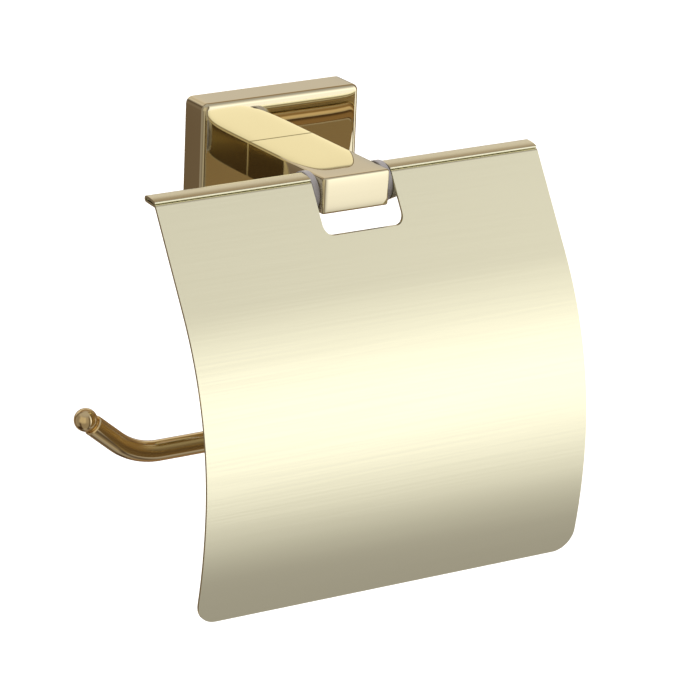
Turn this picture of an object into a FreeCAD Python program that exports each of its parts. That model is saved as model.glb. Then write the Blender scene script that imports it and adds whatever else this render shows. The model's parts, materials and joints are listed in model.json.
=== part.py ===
import FreeCAD, Part
import math
import os

# Wall-mounted toilet paper holder with a hinged cover flap.
# Millimetres. The wall is the plane Y = 0, the user stands on the -Y side, +X is right, +Z is up.
# The origin is the middle of the wall plate's back face, on the arm's centre line.

V = FreeCAD.Vector

# ---- driving dimensions ----
ROSETTE_W = 56.0            # rosette width
ROSETTE_H = 38.4            # rosette height
ROSETTE_DEPTH = 10.5        # from the wall to the rosette's front face
ROSETTE_CORNER_R = 2.2
ROSETTE_EDGE_R = 1.5        # rounding of the front edge
ROSETTE_WALL = 1.8          # side walls of the shell
ROSETTE_FRONT_WALL = 2.6

PLATE_GAP = 0.5             # wall plate flanges to rosette walls
PLATE_T = 1.5
PLATE_FLANGE = 5.5          # how far the flanges stand off the wall
PLATE_HOLE_SPACING = 32.0
PLATE_HOLE_R = 2.25
PLATE_WINDOW = (20.0, 14.0)

ARM_W = 23.5
ARM_H = 11.3
ARM_L = 42.8
ARM_EDGE_R = 0.7
ARM_BACK_EDGE_R = 0.5       # edges of the end that stands on the rosette

HINGE_Y = -45.4             # flap hinge axis, parallel to X
HINGE_Z = -0.6
SPIGOT_R = 2.5              # end of the rod that carries the right ear
SHOULDER_R = 2.0            # hinge screw shoulder that carries the left ear
HINGE_CLEAR = 0.05
WASHER_R = 6.6
WASHER_T = 2.4

FLAP_HALF_W = 68.0
FLAP_T = 0.8
FLAP_LEAN = math.radians(32.0)      # lean of the straight top part from vertical
FLAP_R_UPPER = 106.6                # front face radius above the crown
FLAP_R_LOWER = 160.0                # and below it
FLAP_CROWN = (-84.1, -80.5)         # (y, z) of the point furthest from the wall
FLAP_BOTTOM_Z = -117.4
FLAP_CORNER_R = 7.0
NOTCH_HALF_W = 14.25
NOTCH_BOTTOM_Z = -10.3
NOTCH_CORNER_R = 3.2
EAR_R = 6.0
EAR_WEB_Z = -2.8                    # where the ear's lower edge meets the sheet

HEM_TOP_Z = 5.65
HEM_CROWN_R = 14.0                  # gentle crown of the hem's top layer
HEM_FRONT_ANGLE = math.radians(18.0)
HEM_TIP_ROUND = 0.35                # how far the top layer's cut edge bulges
HEM_BACK_R = 1.02                   # half round at the back, outside
HEM_BACK_SHIFT = 0.45               # its centre lies this far behind the hinge axis
HEM_SLOPE = math.radians(3.8)
HEM_BEND_R = 1.0

ROD_R = 3.25
ROD_LEG_BEND_R = 13.0               # the two bends at the right
ROD_SHOULDER_X = 15.25
ROD_LEG_X = 60.0
ROD_Z = -74.65
ROD_TIP_BEND_X = -61.5
ROD_TIP_BEND_R = 24.0
ROD_TIP_ANGLE = math.radians(39.0)
ROD_TIP_RUN = 10.45
BALL_R = 3.55
BALL_NECK = 2.5                     # ball centre to the groove
GROOVE_W = 0.45
GROOVE_R = 2.25
BALL_STEM = (1.48, 6.5)             # radius and length of the stem pressed into the rod
STEM_BORE = (1.5, 7.0)              # and of the rod's bore for it

SCREW_M3_R = 1.5
SCREW_M4_R = 2.0

# ---- derived values ----
ARM_FRONT_Y = -(ROSETTE_DEPTH + ARM_L)
EAR_IN_X = ARM_W / 2 + WASHER_T + HINGE_CLEAR
EAR_OUT_X = EAR_IN_X + FLAP_T


def export(shape, name):
    """Write one sub-part, checked to be made of closed solids."""
    assert shape.isValid() and shape.Solids, name
    shape.exportStep(os.path.join("parts", name + ".step"))


def y_cylinder(x, z, y_front, y_back, radius):
    return Part.makeCylinder(radius, y_back - y_front, V(x, y_front, z), V(0, 1, 0))


def x_cylinder(x0, x1, y, z, radius):
    return Part.makeCylinder(radius, x1 - x0, V(x0, y, z), V(1, 0, 0))


def z_cylinder(x, y, z0, z1, radius):
    return Part.makeCylinder(radius, z1 - z0, V(x, y, z0), V(0, 0, 1))


def slab(width, height, y_front, y_back, corner_r=0.0):
    """Box centred on the arm's axis, with rounded corners seen from the front."""
    box = Part.makeBox(width, y_back - y_front, height, V(-width / 2, y_front, -height / 2))
    if corner_r:
        along_y = [e for e in box.Edges if abs(e.tangentAt(e.FirstParameter).y) > 0.99]
        box = box.makeFillet(corner_r, along_y)
    return box


def hex_socket(point, direction, flats, depth):
    """Hexagonal key socket that starts at point and sinks along direction."""
    circum_r = flats / math.sqrt(3)
    turn = FreeCAD.Rotation(V(0, 0, 1), direction)
    ring = []
    for i in range(7):
        angle = math.radians(60 * i)
        ring.append(point + turn.multVec(V(circum_r * math.cos(angle), circum_r * math.sin(angle), 0)))
    return Part.Face(Part.makePolygon(ring)).extrude(direction * depth)


def grub_screw(point, direction, radius, length, flats):
    """Headless set screw from its socket end at point, with a cone at the far end."""
    tip = 0.8
    body = Part.makeCylinder(radius, length - tip, point, direction)
    cone = Part.makeCone(radius, radius - tip, tip, point + direction * (length - tip), direction)
    return body.fuse(cone).removeSplitter().cut(hex_socket(point, direction, flats, length * 0.45))


# ---- wall side ----
GRUB_Y = -4.0
ARM_SCREW_X = 6.5
ARM_SCREW_HEAD_R = 3.5
ARM_SCREW_HEAD_T = 2.2
ARM_SCREW_REACH = 9.0


def make_wall_plate():
    """Pressed steel plate with flanges above and below; the rosette drops over it."""
    width = ROSETTE_W - 2 * (ROSETTE_WALL + PLATE_GAP)
    height = ROSETTE_H - 2 * (ROSETTE_WALL + PLATE_GAP)
    plate = slab(width, height, -PLATE_T, 0, 2.0)
    for side in (-1, 1):
        z_low = side * height / 2 - (PLATE_T if side > 0 else 0)
        flange = Part.makeBox(width - 8, PLATE_FLANGE, PLATE_T, V(-width / 2 + 4, -PLATE_FLANGE, z_low))
        plate = plate.fuse(flange)
    window = slab(PLATE_WINDOW[0], PLATE_WINDOW[1], -PLATE_T - 1, 1, 2.0)
    plate = plate.removeSplitter().cut(window)
    for side in (-1, 1):
        x = side * PLATE_HOLE_SPACING / 2
        plate = plate.cut(y_cylinder(x, 0, -PLATE_T - 1, 1, PLATE_HOLE_R))
    return plate


def make_rosette():
    """Hollow cover: rounded front edge, open at the wall, screwed to the arm from inside."""
    outer = slab(ROSETTE_W, ROSETTE_H, -ROSETTE_DEPTH, 0, ROSETTE_CORNER_R)
    front = [e for e in outer.Edges
             if abs(e.BoundBox.YMin + ROSETTE_DEPTH) < 1e-6 and abs(e.BoundBox.YMax + ROSETTE_DEPTH) < 1e-6]
    outer = outer.makeFillet(ROSETTE_EDGE_R, front)
    hollow = slab(ROSETTE_W - 2 * ROSETTE_WALL, ROSETTE_H - 2 * ROSETTE_WALL,
                  -(ROSETTE_DEPTH - ROSETTE_FRONT_WALL), 1, ROSETTE_CORNER_R - ROSETTE_WALL)
    shell = outer.cut(hollow)
    for side in (-1, 1):
        shell = shell.cut(y_cylinder(side * ARM_SCREW_X, 0, -ROSETTE_DEPTH - 1, 0, SCREW_M4_R + 0.1))
    return shell.cut(z_cylinder(0, GRUB_Y, -ROSETTE_H / 2 - 1, 0, SCREW_M4_R))


def make_rosette_grub():
    bottom = V(0, GRUB_Y, -ROSETTE_H / 2 + 0.3)
    return grub_screw(bottom, V(0, 0, 1), SCREW_M4_R, PLATE_GAP + ROSETTE_WALL - 0.3, 2.0)


def make_arm_screws():
    """Two cap screws from inside the rosette into the arm's back end."""
    screws = []
    inner_face = -(ROSETTE_DEPTH - ROSETTE_FRONT_WALL)
    for side in (-1, 1):
        x = side * ARM_SCREW_X
        shank = y_cylinder(x, 0, -ROSETTE_DEPTH - ARM_SCREW_REACH, inner_face, SCREW_M4_R)
        head = y_cylinder(x, 0, inner_face, inner_face + ARM_SCREW_HEAD_T, ARM_SCREW_HEAD_R)
        socket = hex_socket(V(x, inner_face + ARM_SCREW_HEAD_T, 0), V(0, -1, 0), 3.0, 1.6)
        screws.append(shank.fuse(head).removeSplitter().cut(socket))
    return Part.makeCompound(screws)


# ---- arm and hinge ----
ROD_BORE_DEPTH = 15.0
HINGE_SCREW_REACH = 6.0
HINGE_SCREW_HEAD = (3.2, 1.6)
ROD_GRUB_X = 4.0


def make_arm():
    """Straight bar with all its edges eased, bored for the rod and tapped for its screws."""
    arm = Part.makeBox(ARM_W, ARM_L, ARM_H, V(-ARM_W / 2, ARM_FRONT_Y, -ARM_H / 2))
    arm = arm.makeFillet(ARM_EDGE_R, [e for e in arm.Edges if e.BoundBox.YMin < -ROSETTE_DEPTH - 0.01])
    arm = arm.makeFillet(ARM_BACK_EDGE_R, [e for e in arm.Edges if e.BoundBox.YMin > -ROSETTE_DEPTH - 0.01])
    right = ARM_W / 2
    arm = arm.cut(x_cylinder(right - ROD_BORE_DEPTH, right + 1, HINGE_Y, HINGE_Z, SPIGOT_R + 0.02))
    arm = arm.cut(x_cylinder(-right - 1, -right + HINGE_SCREW_REACH, HINGE_Y, HINGE_Z, SCREW_M3_R))
    arm = arm.cut(z_cylinder(ROD_GRUB_X, HINGE_Y, -ARM_H / 2 - 1, HINGE_Z, SCREW_M4_R))
    for side in (-1, 1):
        hole = y_cylinder(side * ARM_SCREW_X, 0, -ROSETTE_DEPTH - ARM_SCREW_REACH - 2, 0, SCREW_M4_R)
        arm = arm.cut(hole)
    return arm


def make_rod_grub():
    """Set screw up through the arm's underside that clamps the rod's spigot."""
    start = V(ROD_GRUB_X, HINGE_Y, -ARM_H / 2 + 0.3)
    return grub_screw(start, V(0, 0, 1), SCREW_M4_R, HINGE_Z - SPIGOT_R - start.z, 2.0)


def pivot_radius(side):
    """Radius of the pin on one side of the arm: hinge screw on the left, rod on the right."""
    return SHOULDER_R if side < 0 else SPIGOT_R


def make_washer(side):
    """Thick plastic washer between the arm and one ear of the flap."""
    inner, outer = sorted((side * ARM_W / 2, side * (ARM_W / 2 + WASHER_T)))
    disc = x_cylinder(inner, outer, HINGE_Y, HINGE_Z, WASHER_R)
    disc = disc.makeFillet(0.4, [e for e in disc.Edges if e.Closed])
    return disc.cut(x_cylinder(inner - 1, outer + 1, HINGE_Y, HINGE_Z, pivot_radius(side) + HINGE_CLEAR))


def make_hinge_screw():
    """Shoulder screw on the left: the ear turns on its shoulder."""
    head_r, head_t = HINGE_SCREW_HEAD
    arm_face = -ARM_W / 2
    ear_face = -EAR_OUT_X - HINGE_CLEAR
    screw = x_cylinder(arm_face, arm_face + HINGE_SCREW_REACH - 0.5, HINGE_Y, HINGE_Z, SCREW_M3_R)
    screw = screw.fuse(x_cylinder(ear_face, arm_face, HINGE_Y, HINGE_Z, SHOULDER_R))
    head = x_cylinder(ear_face - head_t, ear_face, HINGE_Y, HINGE_Z, head_r)
    head = head.makeFillet(0.5, [e for e in head.Edges if e.Closed and e.BoundBox.XMax < ear_face - 0.1])
    screw = screw.fuse(head).removeSplitter()
    return screw.cut(hex_socket(V(ear_face - head_t, HINGE_Y, HINGE_Z), V(1, 0, 0), 2.0, 1.2))


# ---- roll rod ----
def rod_path():
    """Centre line: out of the arm to the right, down, back to the left and up at the free end."""
    leg_x, low_z = ROD_LEG_X, ROD_Z
    r, tip_r, a = ROD_LEG_BEND_R, ROD_TIP_BEND_R, ROD_TIP_ANGLE
    inside = r * (1 - math.sqrt(0.5))

    def at(x, z):
        return V(x, HINGE_Y, z)

    def on_tip_bend(angle):
        return at(ROD_TIP_BEND_X - tip_r * math.sin(angle), low_z + tip_r * (1 - math.cos(angle)))

    tip_dir = V(-math.cos(a), 0, math.sin(a))
    tip_end = on_tip_bend(a) + tip_dir * ROD_TIP_RUN
    edges = [
        Part.makeLine(at(ROD_SHOULDER_X, HINGE_Z), at(leg_x - r, HINGE_Z)),
        Part.Arc(at(leg_x - r, HINGE_Z), at(leg_x - inside, HINGE_Z - inside),
                 at(leg_x, HINGE_Z - r)).toShape(),
        Part.makeLine(at(leg_x, HINGE_Z - r), at(leg_x, low_z + r)),
        Part.Arc(at(leg_x, low_z + r), at(leg_x - inside, low_z + inside),
                 at(leg_x - r, low_z)).toShape(),
        Part.makeLine(at(leg_x - r, low_z), at(ROD_TIP_BEND_X, low_z)),
        Part.Arc(at(ROD_TIP_BEND_X, low_z), on_tip_bend(a / 2), on_tip_bend(a)).toShape(),
        Part.makeLine(on_tip_bend(a), tip_end),
    ]
    return edges, tip_end, tip_dir


def make_rod():
    edges, tip_end, tip_dir = rod_path()
    start = V(ROD_SHOULDER_X, HINGE_Y, HINGE_Z)
    section = Part.Wire(Part.makeCircle(ROD_R, start, V(1, 0, 0)))
    rod = Part.Wire(edges).makePipeShell([section], True, False)
    rod = rod.makeChamfer(0.35, [e for e in rod.Edges if e.Closed and is_end_circle(e, start, tip_end)])
    spigot = x_cylinder(ARM_W / 2 - ROD_BORE_DEPTH + 0.5, ROD_SHOULDER_X, HINGE_Y, HINGE_Z, SPIGOT_R)
    rod = rod.fuse(spigot)
    bore_r, bore_l = STEM_BORE
    return rod.cut(Part.makeCylinder(bore_r, bore_l, tip_end - tip_dir * bore_l, tip_dir))


def is_end_circle(edge, start, tip_end):
    centre = edge.BoundBox.Center
    return min(centre.distanceToPoint(start), centre.distanceToPoint(tip_end)) < 0.01


def make_tip_ball():
    """Ball end turned with a narrow groove and a stem, pressed into the rod's free end."""
    tip_end, tip_dir = rod_path()[1:]
    stem_r, stem_l = BALL_STEM
    centre_z = GROOVE_W + BALL_NECK
    back_r = math.sqrt(BALL_R ** 2 - BALL_NECK ** 2)

    def rz(r, z):
        return V(r, 0, z)

    corners = [rz(0, centre_z + BALL_R), rz(0, -stem_l), rz(stem_r, -stem_l), rz(stem_r, 0),
               rz(GROOVE_R, 0), rz(GROOVE_R, GROOVE_W), rz(back_r, GROOVE_W)]
    outline = [Part.makeLine(p, q) for p, q in zip(corners, corners[1:])]
    outline.append(Part.Arc(corners[-1], rz(BALL_R, centre_z), corners[0]).toShape())
    ball = Part.Face(Part.Wire(outline)).revolve(V(0, 0, 0), V(0, 0, 1), 360)
    ball.Placement = FreeCAD.Placement(tip_end, FreeCAD.Rotation(V(0, 0, 1), tip_dir))
    return ball


# ---- flap ----
def flap_centres():
    """Centres of the sheet's two arcs, above and below the crown, as (y, z)."""
    crown_y, crown_z = FLAP_CROWN
    return (crown_y + FLAP_R_UPPER, crown_z), (crown_y + FLAP_R_LOWER, crown_z)


def arc_point(centre, radius, angle):
    """Point on an arc; angle is measured from -Y towards +Z."""
    return (centre[0] - radius * math.cos(angle), centre[1] + radius * math.sin(angle))


def yz(point, x=0.0):
    return V(x, point[0], point[1])


def line(a, b):
    return Part.makeLine(yz(a), yz(b))


def arc(a, mid, b):
    return Part.Arc(yz(a), yz(mid), yz(b)).toShape()


def hem_point(radius, forward_angle):
    """Point on the hem's crown; angle is measured from straight up towards the front."""
    centre_z = HEM_TOP_Z - HEM_CROWN_R
    return (HINGE_Y - radius * math.sin(forward_angle), centre_z + radius * math.cos(forward_angle))


def offset_line_crossing(p, n_p, q, n_q, inset):
    """Centre of the bend that touches both lines from inside at distance inset."""
    c_p = p[0] * n_p[0] + p[1] * n_p[1] - inset
    c_q = q[0] * n_q[0] + q[1] * n_q[1] - inset
    det = n_p[0] * n_q[1] - n_p[1] * n_q[0]
    return ((c_p * n_q[1] - c_q * n_p[1]) / det, (n_p[0] * c_q - n_q[0] * c_p) / det)


def flap_section():
    """Closed outline of the sheet with its rolled top hem, in the YZ plane."""
    t = FLAP_T
    up_c, low_c = flap_centres()
    low_angle = math.asin((FLAP_CROWN[1] - FLAP_BOTTOM_Z) / FLAP_R_LOWER)
    lean = FLAP_LEAN
    # hem: crowned top layer, half round at the back, bottom layer back to the sheet
    back_c = (HINGE_Y + HEM_BACK_SHIFT, HEM_TOP_Z - HEM_BACK_R)
    top_out, top_in = HEM_CROWN_R, HEM_CROWN_R - t
    in_r = HEM_BACK_R - t
    n_sheet = (-math.cos(lean), math.sin(lean))
    n_hem = (-math.sin(HEM_SLOPE), math.cos(HEM_SLOPE))
    tangent = arc_point(up_c, FLAP_R_UPPER, lean)
    hem_start = (back_c[0], back_c[1] - in_r)
    bend_c = offset_line_crossing(tangent, n_sheet, hem_start, n_hem, HEM_BEND_R)

    def bend(radius, angle):
        return (bend_c[0] - radius * math.sin(angle), bend_c[1] + radius * math.cos(angle))

    a0, a1 = math.pi / 2 - lean, HEM_SLOPE
    am = (a0 + a1) / 2
    cut_mid = hem_point((top_out + top_in) / 2, HEM_FRONT_ANGLE)
    cut_tip = (cut_mid[0] - HEM_TIP_ROUND * math.cos(HEM_FRONT_ANGLE),
               cut_mid[1] - HEM_TIP_ROUND * math.sin(HEM_FRONT_ANGLE))
    bottom_out = arc_point(low_c, FLAP_R_LOWER, -low_angle)
    bottom_in = arc_point(low_c, FLAP_R_LOWER - t, -low_angle)
    hem_low = (back_c[0], back_c[1] - HEM_BACK_R)
    inner_tangent = arc_point(up_c, FLAP_R_UPPER - t, lean)
    edges = [
        arc(bottom_out, arc_point(low_c, FLAP_R_LOWER, -low_angle / 2), arc_point(low_c, FLAP_R_LOWER, 0)),
        arc(arc_point(up_c, FLAP_R_UPPER, 0), arc_point(up_c, FLAP_R_UPPER, lean / 2), tangent),
        line(tangent, bend(HEM_BEND_R, a0)),
        arc(bend(HEM_BEND_R, a0), bend(HEM_BEND_R, am), bend(HEM_BEND_R, a1)),
        line(bend(HEM_BEND_R, a1), hem_start),
        arc(hem_start, (back_c[0] + in_r, back_c[1]), (back_c[0], back_c[1] + in_r)),
        line((back_c[0], back_c[1] + in_r), hem_point(top_in, 0)),
        arc(hem_point(top_in, 0), hem_point(top_in, HEM_FRONT_ANGLE / 2),
            hem_point(top_in, HEM_FRONT_ANGLE)),
        arc(hem_point(top_in, HEM_FRONT_ANGLE), cut_tip, hem_point(top_out, HEM_FRONT_ANGLE)),
        arc(hem_point(top_out, HEM_FRONT_ANGLE), hem_point(top_out, HEM_FRONT_ANGLE / 2),
            hem_point(top_out, 0)),
        line(hem_point(top_out, 0), (back_c[0], back_c[1] + HEM_BACK_R)),
        arc((back_c[0], back_c[1] + HEM_BACK_R), (back_c[0] + HEM_BACK_R, back_c[1]), hem_low),
        line(hem_low, bend(HEM_BEND_R - t, a1)),
        arc(bend(HEM_BEND_R - t, a1), bend(HEM_BEND_R - t, am), bend(HEM_BEND_R - t, a0)),
        line(bend(HEM_BEND_R - t, a0), inner_tangent),
        arc(inner_tangent, arc_point(up_c, FLAP_R_UPPER - t, lean / 2), arc_point(up_c, FLAP_R_UPPER - t, 0)),
        arc(arc_point(low_c, FLAP_R_LOWER - t, 0), arc_point(low_c, FLAP_R_LOWER - t, -low_angle / 2),
            bottom_in),
        line(bottom_in, bottom_out),
    ]
    return Part.Wire(edges)


def front_prism(outline_edges):
    """Extrude an XZ outline drawn at Y = 0 through the whole flap, front to back."""
    face = Part.Face(Part.Wire(outline_edges))
    face.translate(V(0, -110, 0))
    return face.extrude(V(0, 80, 0))


def xz_line(x0, z0, x1, z1):
    return Part.makeLine(V(x0, 0, z0), V(x1, 0, z1))


def xz_corner(x, z, radius, side):
    """Quarter arc of a bottom corner; side is -1 for the left and 1 for the right."""
    half = math.sqrt(0.5)
    centre = V(x - side * radius, 0, z + radius)
    start = centre + V(side * radius, 0, 0)
    middle = centre + V(side * radius * half, 0, -radius * half)
    return Part.Arc(start, middle, centre - V(0, 0, radius)).toShape()


def u_outline(half_w, z_bottom, z_top, radius):
    """Open-topped U, closed by a straight line at z_top."""
    return [
        xz_line(-half_w, z_top, -half_w, z_bottom + radius),
        xz_corner(-half_w, z_bottom, radius, -1),
        xz_line(-half_w + radius, z_bottom, half_w - radius, z_bottom),
        xz_corner(half_w, z_bottom, radius, 1),
        xz_line(half_w, z_bottom + radius, half_w, z_top),
        xz_line(half_w, z_top, -half_w, z_top),
    ]


def make_ear(side):
    """Ear bent back from the notch's side edge, round about the hinge hole."""
    low = min(side * EAR_IN_X, side * EAR_OUT_X)
    disc = x_cylinder(low, low + FLAP_T, HINGE_Y, HINGE_Z, EAR_R)
    up_c = flap_centres()[0]
    on_sheet = arc_point(up_c, FLAP_R_UPPER - FLAP_T / 2, FLAP_LEAN)
    slope = math.tan(FLAP_LEAN)

    def sheet_at(z):
        return (on_sheet[0] + (z - on_sheet[1]) * slope, z)

    corner = sheet_at(EAR_WEB_Z)
    reach = math.hypot(corner[0] - HINGE_Y, corner[1] - HINGE_Z)
    turn = math.acos(EAR_R / reach)
    base = math.atan2(corner[1] - HINGE_Z, corner[0] - HINGE_Y)
    touch = (HINGE_Y + EAR_R * math.cos(base + turn), HINGE_Z + EAR_R * math.sin(base + turn))
    top = sheet_at(HINGE_Z + 3.6)
    web = Part.Face(Part.makePolygon([yz(p, low) for p in
                                      (corner, touch, (HINGE_Y, HINGE_Z), (HINGE_Y, top[1]), top, corner)]))
    return disc.fuse(web.extrude(V(FLAP_T, 0, 0)))


def make_flap():
    """Bent sheet cover: rolled hem, arm notch, rounded lower corners and two hinge ears."""
    section = Part.Face(flap_section())
    section.translate(V(-FLAP_HALF_W, 0, 0))
    sheet = section.extrude(V(2 * FLAP_HALF_W, 0, 0))
    outline = u_outline(FLAP_HALF_W, FLAP_BOTTOM_Z, 20.0, FLAP_CORNER_R)
    sheet = sheet.common(front_prism(outline))
    sheet = sheet.cut(front_prism(u_outline(NOTCH_HALF_W, NOTCH_BOTTOM_Z, 20.0, NOTCH_CORNER_R)))
    flap = sheet.fuse([make_ear(-1), make_ear(1)])
    for side in (-1, 1):
        low = min(side * EAR_IN_X, side * EAR_OUT_X)
        hole_r = pivot_radius(side) + HINGE_CLEAR
        flap = flap.cut(x_cylinder(low - 0.5, low + FLAP_T + 0.5, HINGE_Y, HINGE_Z, hole_r))
    return flap.removeSplitter()


os.makedirs("parts", exist_ok=True)
export(make_wall_plate(), "wall_plate")
export(make_rosette(), "rosette_cover")
export(make_rosette_grub(), "rosette_set_screw")
export(make_arm_screws(), "arm_screws")
export(make_arm(), "arm")
export(make_washer(-1), "hinge_washer_left")
export(make_washer(1), "hinge_washer_right")
export(make_hinge_screw(), "hinge_screw")
export(make_rod_grub(), "rod_set_screw")
export(make_rod(), "roll_rod")
export(make_tip_ball(), "rod_tip_ball")
export(make_flap(), "cover_flap")
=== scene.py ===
import json
import math

import bmesh
import bpy
from mathutils import Matrix, Vector


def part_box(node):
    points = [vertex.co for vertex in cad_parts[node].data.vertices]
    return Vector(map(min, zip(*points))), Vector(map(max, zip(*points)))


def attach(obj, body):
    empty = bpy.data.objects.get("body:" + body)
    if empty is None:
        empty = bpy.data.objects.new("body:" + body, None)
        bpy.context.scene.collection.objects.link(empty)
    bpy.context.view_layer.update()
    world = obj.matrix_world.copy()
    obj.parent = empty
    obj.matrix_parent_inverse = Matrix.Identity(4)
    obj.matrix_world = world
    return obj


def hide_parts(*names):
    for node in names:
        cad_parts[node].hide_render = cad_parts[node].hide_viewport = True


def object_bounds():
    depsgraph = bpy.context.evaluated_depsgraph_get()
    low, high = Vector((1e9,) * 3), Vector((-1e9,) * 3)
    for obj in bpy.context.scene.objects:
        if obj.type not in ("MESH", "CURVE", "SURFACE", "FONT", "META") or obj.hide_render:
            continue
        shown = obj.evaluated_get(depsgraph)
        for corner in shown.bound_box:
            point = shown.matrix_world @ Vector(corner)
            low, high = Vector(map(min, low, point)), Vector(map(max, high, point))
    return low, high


# Looks of the wall-mounted toilet paper holder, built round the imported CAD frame. Metres.

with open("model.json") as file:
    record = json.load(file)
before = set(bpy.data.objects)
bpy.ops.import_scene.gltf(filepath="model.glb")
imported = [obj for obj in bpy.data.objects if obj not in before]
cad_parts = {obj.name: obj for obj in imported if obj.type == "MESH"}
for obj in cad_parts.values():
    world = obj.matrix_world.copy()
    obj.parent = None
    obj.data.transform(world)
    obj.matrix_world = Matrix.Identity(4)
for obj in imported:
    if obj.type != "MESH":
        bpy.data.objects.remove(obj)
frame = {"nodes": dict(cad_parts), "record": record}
cad_low, cad_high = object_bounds()
nodes = frame["nodes"]
scene = bpy.context.scene

MM = 0.001


# ---- camera ----
CAMERA_AZIMUTH = math.radians(-33.70)       # from straight in front, towards the open end of the rod
CAMERA_ELEVATION = math.radians(19.10)
CAMERA_ROLL = math.radians(2.46)
CAMERA_DISTANCE = 1.3736
CAMERA_LENS = 230.97
CAMERA_SENSOR = 36.0
CAMERA_CLIP = (0.05, 60.0)
AIM_FROM_MIDDLE = Vector((19.1, 0.2, -5.7)) * MM


def make_camera():
    """Long lens, a little above the holder and to its left."""
    middle = (cad_low + cad_high) / 2
    level = math.cos(CAMERA_ELEVATION)
    back = Vector((math.sin(CAMERA_AZIMUTH) * level, -math.cos(CAMERA_AZIMUTH) * level,
                   math.sin(CAMERA_ELEVATION)))
    right = (-back).cross(Vector((0, 0, 1))).normalized()
    up = back.cross(right)
    rolled_right = right * math.cos(CAMERA_ROLL) + up * math.sin(CAMERA_ROLL)
    rolled_up = up * math.cos(CAMERA_ROLL) - right * math.sin(CAMERA_ROLL)
    data = bpy.data.cameras.new("camera")
    data.sensor_width = CAMERA_SENSOR
    data.lens = CAMERA_LENS
    data.clip_start, data.clip_end = CAMERA_CLIP
    camera = bpy.data.objects.new("camera", data)
    scene.collection.objects.link(camera)
    turn = Matrix((rolled_right, rolled_up, back)).transposed().to_4x4()
    camera.matrix_world = Matrix.Translation(middle + AIM_FROM_MIDDLE + back * CAMERA_DISTANCE) @ turn
    scene.camera = camera


# ---- small helpers for node trees ----
def new_tree(owner):
    owner.use_nodes = True
    tree = owner.node_tree
    tree.nodes.clear()
    return tree


def put(socket, value):
    """Link value to the socket if it is another socket, and set it otherwise."""
    if isinstance(value, bpy.types.NodeSocket):
        socket.id_data.links.new(value, socket)
    else:
        socket.default_value = value


def math_node(tree, operation, *values):
    node = tree.nodes.new("ShaderNodeMath")
    node.operation = operation
    for socket, value in zip(node.inputs, values):
        put(socket, value)
    return node.outputs[0]


def smooth_between(tree, value, low, high, to_low=0.0, to_high=1.0):
    """Smooth step of value from low to high, mapped to the range from to_low to to_high."""
    node = tree.nodes.new("ShaderNodeMapRange")
    node.interpolation_type = "SMOOTHSTEP"
    put(node.inputs["Value"], value)
    for name, number in (("From Min", low), ("From Max", high), ("To Min", to_low), ("To Max", to_high)):
        put(node.inputs[name], number)
    return node.outputs["Result"]


def scaled(tree, vector, factors):
    """The vector with each axis stretched by its own factor, for grain that runs one way."""
    node = tree.nodes.new("ShaderNodeMapping")
    put(node.inputs["Vector"], vector)
    node.inputs["Scale"].default_value = factors
    return node.outputs["Vector"]


def noise(tree, vector, scale, detail, roughness=0.5, distortion=0.0):
    node = tree.nodes.new("ShaderNodeTexNoise")
    put(node.inputs["Vector"], vector)
    node.inputs["Scale"].default_value = scale
    node.inputs["Detail"].default_value = detail
    node.inputs["Roughness"].default_value = roughness
    node.inputs["Distortion"].default_value = distortion
    return node.outputs["Fac"]


MIX_FACTOR, MIX_FIRST, MIX_SECOND, MIX_RESULT = 0, 6, 7, 2     # the Mix node's colour sockets


def mix_colours(tree, factor, first, second):
    """Blend of two colours, each an (r, g, b) tuple or a socket."""
    node = tree.nodes.new("ShaderNodeMix")
    node.data_type = "RGBA"
    put(node.inputs[MIX_FACTOR], factor)
    for index, colour in ((MIX_FIRST, first), (MIX_SECOND, second)):
        put(node.inputs[index], (*colour, 1.0) if isinstance(colour, tuple) else colour)
    return node.outputs[MIX_RESULT]


def bump(tree, height, distance, strength, normal=None):
    node = tree.nodes.new("ShaderNodeBump")
    node.inputs["Strength"].default_value = strength
    node.inputs["Distance"].default_value = distance
    put(node.inputs["Height"], height)
    if normal is not None:
        put(node.inputs["Normal"], normal)
    return node.outputs["Normal"]


# ---- light ----
ROOM_DARK = (0.060, 0.037, 0.022)
CEILING_GLOW = 0.42
CEILING_EDGE = (62, 36)                     # elevation and softness of its edge, degrees
FLOOR_GLOW = 0.28
FLOOR_EDGE = (-76, 20)
BACKDROP = (1.0, 1.0, 1.0)                  # what the camera itself sees behind the holder


class SoftBox:
    """Patch of light on the studio walls. Angles are in degrees; low and high are (edge, softness)."""

    def __init__(self, azimuths, side_soft, low, high, colour):
        self.middle = (azimuths[0] + azimuths[1]) / 2
        self.half = (azimuths[1] - azimuths[0]) / 2
        self.side_soft = side_soft
        self.low, self.high = low, high
        self.colour = colour


def grey(level):
    return (level, level, level)


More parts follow.
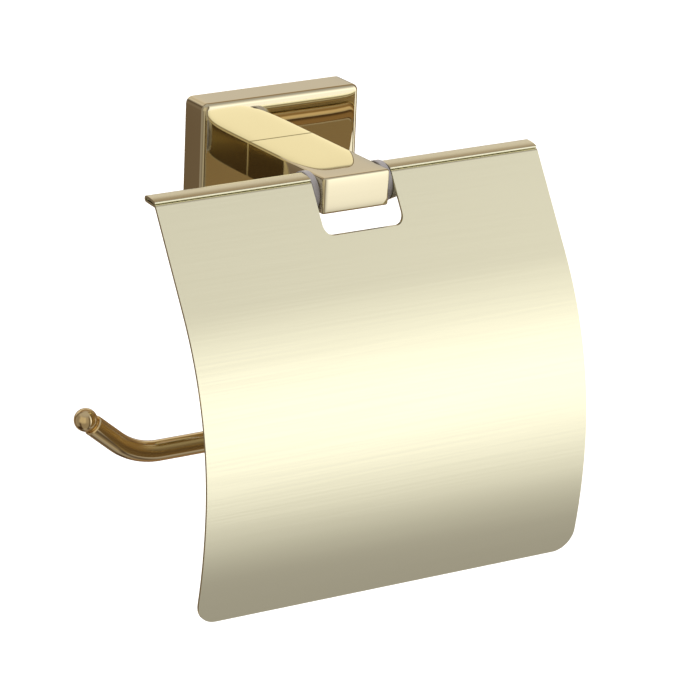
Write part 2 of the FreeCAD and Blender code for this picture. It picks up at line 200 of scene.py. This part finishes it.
WINDOW = (20, 80)                           # azimuths of the bright window side, front right
SOFT_BOXES = [
    # the window: its bright middle, its pane, and the pale wall below it
    SoftBox(WINDOW, 16, (-18, 38), (22.5, 38), grey(0.65)),
    SoftBox(WINDOW, 16, (-28, 16), (44, 30), grey(0.36)),
    SoftBox(WINDOW, 16, (-62, 24), (44, 30), grey(0.34)),
    # lower edge of the ceiling, in front and at both sides
    SoftBox((-140, 95), 30, (45, 42), (62, 36), grey(0.42)),
    # reflectors at the front left and the left
    SoftBox((-92, -30), 26, (-12, 28), (42, 30), (0.54, 0.49, 0.38)),
    SoftBox((-142, -92), 24, (-45, 16), (50, 24), (0.25, 0.235, 0.21)),
    # pale strip behind the holder, with a brown glow over it and a trace of it below
    SoftBox((128, 205), 14, (4, 8), (38, 16), (0.45, 0.455, 0.45)),
    SoftBox((98, 205), 20, (14, 20), (62, 20), (0.22, 0.155, 0.085)),
    SoftBox((150, 232), 20, (-50, 24), (12, 12), (0.065, 0.045, 0.026)),
    # brown side wall at the right, low and at eye level
    SoftBox((84, 150), 20, (-75, 16), (-20, 24), (0.22, 0.155, 0.095)),
    SoftBox((84, 140), 20, (-20, 24), (12, 20), (0.20, 0.135, 0.070)),
    # fill from the front, low and at eye level
    SoftBox((-74, 8), 22, (-80, 12), (-10, 26), (0.26, 0.24, 0.195)),
    SoftBox((-34, 6), 24, (-10, 26), (42, 30), (0.34, 0.31, 0.25)),
    # low patch straight behind
    SoftBox((166, 198), 12, (-60, 24), (4, 10), (0.26, 0.23, 0.18)),
]


def make_world():
    """Soft studio surroundings: a dim warm room with a pale ceiling and the soft boxes."""
    world = bpy.data.worlds.new("studio")
    scene.world = world
    tree = new_tree(world)
    direction = tree.nodes.new("ShaderNodeTexCoord").outputs["Generated"]
    split = tree.nodes.new("ShaderNodeSeparateXYZ")
    put(split.inputs[0], direction)
    x, y, z = split.outputs
    elevation = math_node(tree, "ARCSINE", z)
    azimuth = math_node(tree, "ARCTAN2", x, math_node(tree, "MULTIPLY", y, -1.0))

    def rising(value, edge_deg, soft_deg):
        return smooth_between(tree, value, math.radians(edge_deg - soft_deg / 2),
                              math.radians(edge_deg + soft_deg / 2))

    def falling(value, edge_deg, soft_deg):
        return math_node(tree, "SUBTRACT", 1.0, rising(value, edge_deg, soft_deg))

    def add_light(total, patch, colour):
        node = tree.nodes.new("ShaderNodeVectorMath")
        node.operation = "MULTIPLY_ADD"
        for socket, value in zip(node.inputs, (patch, colour, total)):
            put(socket, value)
        return node.outputs[0]

    total = add_light(ROOM_DARK, rising(elevation, *CEILING_EDGE), grey(CEILING_GLOW))
    total = add_light(total, falling(elevation, *FLOOR_EDGE), grey(FLOOR_GLOW))
    for box in SOFT_BOXES:
        turned = math_node(tree, "WRAP", math_node(tree, "SUBTRACT", azimuth, math.radians(box.middle)),
                           math.pi, -math.pi)
        across = falling(math_node(tree, "ABSOLUTE", turned), box.half, box.side_soft)
        upright = math_node(tree, "MULTIPLY", rising(elevation, *box.low), falling(elevation, *box.high))
        patch = math_node(tree, "MULTIPLY", across, upright)
        total = add_light(total, patch, box.colour)
    seen = tree.nodes.new("ShaderNodeLightPath").outputs["Is Camera Ray"]
    colour = mix_colours(tree, seen, total, BACKDROP)
    background = tree.nodes.new("ShaderNodeBackground")
    put(background.inputs["Color"], colour)
    output = tree.nodes.new("ShaderNodeOutputWorld")
    tree.links.new(background.outputs[0], output.inputs["Surface"])


FLOOR_DROP = 0.62                           # floor below the cover's lower edge
FLOOR_RADIUS = 7.0
FLOOR_CORNERS = 96


def floor_paint(tree, shader, place):
    """Matt pale paint."""
    shade = noise(tree, place, scale=1.5, detail=2.0)
    put(shader.inputs["Base Color"], mix_colours(tree, shade, grey(0.93), grey(0.95)))
    shader.inputs["Roughness"].default_value = 0.9


def make_floor():
    """Plain pale floor, well below the holder."""
    level = cad_low.z - FLOOR_DROP
    angles = [2 * math.pi * i / FLOOR_CORNERS for i in range(FLOOR_CORNERS)]
    corners = [(FLOOR_RADIUS * math.cos(angle), FLOOR_RADIUS * math.sin(angle), level) for angle in angles]
    mesh = bpy.data.meshes.new("studio_floor")
    mesh.from_pydata(corners, [], [list(range(FLOOR_CORNERS))])
    mesh.materials.append(finish_material("floor_paint", floor_paint))
    floor = bpy.data.objects.new("studio_floor", mesh)
    scene.collection.objects.link(floor)
    floor.visible_glossy = False


CEILING_LIGHT_STRENGTH = 3.6
CEILING_LIGHT_ANGLE = math.radians(40)      # apparent size, for soft shadows
CEILING_LIGHT_TILT = (math.radians(-12), math.radians(10), 0)


def make_ceiling_light():
    """Large soft light from above that keeps the floor white and fills plain surfaces."""
    data = bpy.data.lights.new("ceiling_light", "SUN")
    data.energy = CEILING_LIGHT_STRENGTH
    data.angle = CEILING_LIGHT_ANGLE
    light = bpy.data.objects.new("ceiling_light", data)
    light.rotation_euler = CEILING_LIGHT_TILT
    light.visible_glossy = False
    scene.collection.objects.link(light)


# ---- materials ----
def finish_material(name, build):
    """Material whose shader is set up by build(tree, shader, place)."""
    material = bpy.data.materials.new(name)
    tree = new_tree(material)
    shader = tree.nodes.new("ShaderNodeBsdfPrincipled")
    build(tree, shader, tree.nodes.new("ShaderNodeTexCoord").outputs["Object"])
    output = tree.nodes.new("ShaderNodeOutputMaterial")
    tree.links.new(shader.outputs[0], output.inputs["Surface"])
    return material


def metal(tree, shader, pattern, first, second, roughness_pattern, low, high, roughness):
    """Metal coloured between two shades; low to high of its pattern gives the roughness range."""
    shader.inputs["Metallic"].default_value = 1.0
    put(shader.inputs["Base Color"], mix_colours(tree, pattern, first, second))
    put(shader.inputs["Roughness"], smooth_between(tree, roughness_pattern, low, high, *roughness))


def rolled_edges(tree, place, node, reach, slopes):
    """Height of a box-shaped piece whose flat faces were buffed round towards their edges."""
    low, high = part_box(node)
    middle, half = (low + high) / 2, (high - low) / 2
    split = tree.nodes.new("ShaderNodeSeparateXYZ")
    put(split.inputs[0], place)
    height = 0.0
    for along, centre, size, slope in zip(split.outputs, middle, half, slopes):
        from_middle = math_node(tree, "SUBTRACT", centre, along)
        if along.name != "Y":               # the back end, against the wall, stays crisp
            from_middle = math_node(tree, "ABSOLUTE", from_middle)
        depth = math_node(tree, "SUBTRACT", from_middle, size)
        fall = math_node(tree, "EXPONENT", math_node(tree, "DIVIDE", depth, reach))
        height = math_node(tree, "MULTIPLY_ADD", fall, -slope * reach, height)
    return height


def polished_gold(tree, shader, place, edge_node=None, reach=0.0, slopes=(0, 0, 0)):
    """Mirror-polished pale gold plating with a trace of polishing haze."""
    cloud = noise(tree, place, scale=60.0, detail=3.0)
    haze = noise(tree, place, scale=420.0, detail=4.0, roughness=0.6)
    metal(tree, shader, cloud, (0.818, 0.750, 0.527), (0.832, 0.767, 0.549), haze, 0.3, 0.8, (0.020, 0.045))
    wave = noise(tree, place, scale=90.0, detail=1.0)
    normal = bump(tree, wave, distance=0.01 * MM, strength=0.35)
    if edge_node:
        height = rolled_edges(tree, place, edge_node, reach, slopes)
        normal = bump(tree, height, distance=1.0, strength=1.0, normal=normal)
    put(shader.inputs["Normal"], normal)


def rosette_gold(tree, shader, place):
    """Polished plating, buffed softly over the rosette's front edges."""
    polished_gold(tree, shader, place, "rosette_cover", reach=2.0 * MM, slopes=(0.13, 0.0, 0.06))


def arm_gold(tree, shader, place):
    """Polished plating, buffed softly over the bar's edges."""
    polished_gold(tree, shader, place, "arm", reach=1.4 * MM, slopes=(0.22, 0.10, 0.18))


def round_bar_gold(tree, shader, place):
    """Polished plating on the bent bar, a little warmer and hazier."""
    cloud = noise(tree, place, scale=70.0, detail=3.0)
    haze = noise(tree, place, scale=300.0, detail=3.0)
    metal(tree, shader, cloud, (0.835, 0.670, 0.380), (0.860, 0.700, 0.415), haze, 0.3, 0.75, (0.035, 0.065))


def sheet_gold(tree, shader, place):
    """Pale gold sheet with a fine satin grain running across the cover."""
    grain = noise(tree, scaled(tree, place, (14.0, 1500.0, 1500.0)), scale=1.0, detail=4.0, roughness=0.6)
    cloud = noise(tree, place, scale=25.0, detail=2.0)
    clouded = mix_colours(tree, cloud, (0.866, 0.842, 0.632), (0.878, 0.856, 0.650))
    metal(tree, shader, grain, clouded, (0.858, 0.834, 0.622), grain, 0.3, 0.7, (0.19, 0.24))
    put(shader.inputs["Normal"], bump(tree, grain, distance=0.0015 * MM, strength=0.4))


def grey_plastic(tree, shader, place):
    """Moulded grey plastic, semi-matt, faintly speckled."""
    speckle = noise(tree, place, scale=900.0, detail=4.0, roughness=0.65)
    pores = noise(tree, place, scale=2500.0, detail=2.0)
    put(shader.inputs["Base Color"], mix_colours(tree, speckle, (0.245, 0.233, 0.240), (0.285, 0.272, 0.280)))
    put(shader.inputs["Roughness"], smooth_between(tree, speckle, 0.3, 0.7, 0.36, 0.48))
    put(shader.inputs["Normal"], bump(tree, pores, distance=0.01 * MM, strength=0.3))


def zinc_plate(tree, shader, place):
    """Zinc-plated pressed steel with rolling grain and a cloudy passivation."""
    grain = noise(tree, scaled(tree, place, (20.0, 900.0, 900.0)), scale=1.0, detail=4.0, roughness=0.6)
    cloud = noise(tree, place, scale=120.0, detail=4.0, roughness=0.6, distortion=0.6)
    metal(tree, shader, cloud, (0.52, 0.53, 0.55), (0.66, 0.66, 0.64), grain, 0.3, 0.7, (0.28, 0.42))
    put(shader.inputs["Normal"], bump(tree, grain, distance=0.01 * MM, strength=0.5))


def turned_steel(tree, shader, place):
    """Bright turned screw steel."""
    marks = noise(tree, place, scale=1400.0, detail=3.0)
    metal(tree, shader, marks, (0.44, 0.44, 0.45), (0.56, 0.56, 0.57), marks, 0.3, 0.7, (0.22, 0.34))


FINISHES = {
    "gold_polish": polished_gold,
    "gold_rod": round_bar_gold,
    "gold_sheet": sheet_gold,
    "grey_nylon": grey_plastic,
    "zinc_steel": zinc_plate,
    "steel_screw": turned_steel,
}
BUFFED = {"rosette_cover": rosette_gold, "arm": arm_gold}


def dress_nodes():
    """Each CAD node takes the finish of the material slot that the record gives it."""
    made = {slot: finish_material(slot, build) for slot, build in FINISHES.items()}
    made_for_node = {node: finish_material("gold_polish_" + node, build) for node, build in BUFFED.items()}
    for part in frame["record"]["subparts"]:
        materials = nodes[part["node"]].data.materials
        materials.clear()
        materials.append(made_for_node.get(part["node"]) or made[part["material_slot"]])


# ---- round pieces, turned and bent finer than the CAD meshes ----
HINGE = Vector(frame["record"]["behaviour"]["joints"][0]["pos_m"])     # also the rod's upper axis
ROD_R = 3.25 * MM
SPIGOT_R = 2.5 * MM
SPIGOT_START_X = -2.75 * MM                 # inner end of the spigot, inside the arm
SHOULDER_X = 15.25 * MM                     # where the spigot grows to the full rod
ROD_CHAMFER = 0.35 * MM
LEG_X = 60.0 * MM                           # right leg's centre line
LEG_BEND_R = 13.0 * MM
LOW_Z = -74.65 * MM                         # lower run's centre line
TIP_BEND_X = -61.5 * MM                     # where the lower run bends up to the free end
TIP_BEND_R = 24.0 * MM
TIP_ANGLE = math.radians(39.0)
TIP_RUN = 10.45 * MM
STEM_BORE = (1.5 * MM, 7.0 * MM)            # radius and depth of the bore for the ball's stem
BALL_R = 3.55 * MM
BALL_NECK = 2.5 * MM                        # from the groove to the ball's centre
GROOVE_W = 0.45 * MM
GROOVE_R = 2.25 * MM
BALL_STEM = (1.48 * MM, 6.5 * MM)           # radius and length
BALL_POLE_R = 0.02 * MM                     # tiny flat at the ball's far end
AROUND = 72                                 # corners of each ring
BALL_RINGS = 40
BEND_STEP = math.radians(3)


def facing(heading):
    """Direction in the rod's plane: 0 is +X, and it turns clockwise as seen from the front."""
    return Vector((math.cos(heading), 0.0, -math.sin(heading)))


def rod_line():
    """Points and headings along the rod's centre line from its shoulder to its free end."""
    spot, heading = Vector((SHOULDER_X, HINGE.y, HINGE.z)), 0.0
    legs = [(LEG_X - LEG_BEND_R - SHOULDER_X, LEG_BEND_R, math.pi / 2),
            (HINGE.z - LOW_Z - 2 * LEG_BEND_R, LEG_BEND_R, math.pi / 2),
            (LEG_X - LEG_BEND_R - TIP_BEND_X, TIP_BEND_R, TIP_ANGLE)]
    line = [(spot.copy(), heading)]
    for run, radius, turn in legs:
        spot += facing(heading) * run
        line.append((spot.copy(), heading))
        centre = spot + facing(heading + math.pi / 2) * radius
        count = round(turn / BEND_STEP)
        for i in range(1, count + 1):
            angle = heading + turn * i / count
            line.append((centre - facing(angle + math.pi / 2) * radius, angle))
        spot, heading = line[-1][0].copy(), heading + turn
    line.append((spot + facing(heading) * TIP_RUN, heading))
    return line


def rings_mesh(name, rings):
    """Closed skin over rings given as (centre, heading, radius); the end rings are capped."""
    verts, faces = [], []
    for centre, heading, radius in rings:
        across = facing(heading + math.pi / 2)
        for i in range(AROUND):
            angle = 2 * math.pi * i / AROUND
            verts.append(centre + (across * math.cos(angle) + Vector((0, 1, 0)) * math.sin(angle)) * radius)
    for first in range(0, len(verts) - AROUND, AROUND):
        for i in range(AROUND):
            j = (i + 1) % AROUND
            faces.append((first + i, first + j, first + AROUND + j, first + AROUND + i))
    faces.append(tuple(reversed(range(AROUND))))
    faces.append(tuple(range(len(verts) - AROUND, len(verts))))
    mesh = bpy.data.meshes.new(name)
    mesh.from_pydata(verts, [], faces)
    bm = bmesh.new()
    bm.from_mesh(mesh)
    bmesh.ops.recalc_face_normals(bm, faces=bm.faces)
    bm.to_mesh(mesh)
    bm.free()
    return mesh


def add_round_piece(name, rings, node):
    """New piece that stands for a CAD node, rides on its body and takes its finish."""
    piece = bpy.data.objects.new(name, rings_mesh(name, rings))
    scene.collection.objects.link(piece)
    piece.data.materials.append(nodes[node].data.materials[0])
    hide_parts(node)
    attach(piece, "holder")
    return piece


def make_rod():
    """Bent rod with its spigot, chamfered ends and the bore that takes the ball's stem."""
    line = rod_line()
    start, end = line[0], line[-1]
    inward = facing(end[1]) * -1
    bore_r, bore_l = STEM_BORE
    rings = [(Vector((SPIGOT_START_X, HINGE.y, HINGE.z)), 0.0, SPIGOT_R),
             (start[0], 0.0, SPIGOT_R),
             (start[0], 0.0, ROD_R - ROD_CHAMFER),
             (start[0] + facing(0.0) * ROD_CHAMFER, 0.0, ROD_R)]
    rings += [(spot, heading, ROD_R) for spot, heading in line[1:-1]]
    rings += [(end[0] + inward * ROD_CHAMFER, end[1], ROD_R),
              (end[0], end[1], ROD_R - ROD_CHAMFER),
              (end[0], end[1], bore_r),
              (end[0] + inward * bore_l, end[1], bore_r)]
    return add_round_piece("bent_roll_rod", rings, "roll_rod")


def make_ball():
    """Turned ball end: stem, narrow groove and ball."""
    tip, heading = rod_line()[-1]
    out = facing(heading)
    stem_r, stem_l = BALL_STEM
    centre = GROOVE_W + BALL_NECK
    neck = math.asin(BALL_NECK / BALL_R)
    profile = [(-stem_l, stem_r), (0.0, stem_r), (0.0, GROOVE_R), (GROOVE_W, GROOVE_R)]
    for i in range(BALL_RINGS):
        angle = -neck + (math.pi / 2 + neck) * i / BALL_RINGS
        profile.append((centre + BALL_R * math.sin(angle), BALL_R * math.cos(angle)))
    profile.append((centre + BALL_R, BALL_POLE_R))
    rings = [(tip + out * along, heading, radius) for along, radius in profile]
    return add_round_piece("turned_rod_ball", rings, "rod_tip_ball")


# ---- shading of the CAD meshes ----
SHARP_ANGLE = math.radians(32)
JOIN_DISTANCE = 0.0005 * MM
FACE_WEIGHT = 100                           # larger faces decide the normals


def make_shading_group():
    """Node group that joins a mesh's faces and shades it smooth except over sharp edges."""
    group = bpy.data.node_groups.new("joined_shading", "GeometryNodeTree")
    group.interface.new_socket("Mesh", in_out="INPUT", socket_type="NodeSocketGeometry")
    group.interface.new_socket("Mesh", in_out="OUTPUT", socket_type="NodeSocketGeometry")
    start = group.nodes.new("NodeGroupInput")
    end = group.nodes.new("NodeGroupOutput")
    forget = group.nodes.new("GeometryNodeRemoveAttribute")
    forget.inputs["Name"].default_value = "custom_normal"
    join = group.nodes.new("GeometryNodeMergeByDistance")
    join.inputs["Distance"].default_value = JOIN_DISTANCE
    faces = group.nodes.new("GeometryNodeSetShadeSmooth")
    edges = group.nodes.new("GeometryNodeSetShadeSmooth")
    edges.domain = "EDGE"
    edges.inputs["Shade Smooth"].default_value = False
    angle = group.nodes.new("GeometryNodeInputMeshEdgeAngle")
    put(edges.inputs["Selection"], math_node(group, "GREATER_THAN", angle.outputs[0], SHARP_ANGLE))
    value = start.outputs[0]
    for node in (forget, join, faces, edges):
        put(node.inputs["Geometry"], value)
        value = node.outputs[0]
    put(end.inputs[0], value)
    return group


def smooth_shading(group, pieces):
    """Even normals over flats and round stretches, so that reflections run without breaks."""
    for piece in pieces:
        joined = piece.modifiers.new("joined_shading", "NODES")
        joined.node_group = group
        weighted = piece.modifiers.new("weighted_normals", "WEIGHTED_NORMAL")
        weighted.keep_sharp = True
        weighted.weight = FACE_WEIGHT


make_camera()
make_world()
make_floor()
make_ceiling_light()
dress_nodes()
round_pieces = [make_rod(), make_ball()]
smooth_shading(make_shading_group(), [*nodes.values(), *round_pieces])
scene.view_settings.view_transform = "Standard"
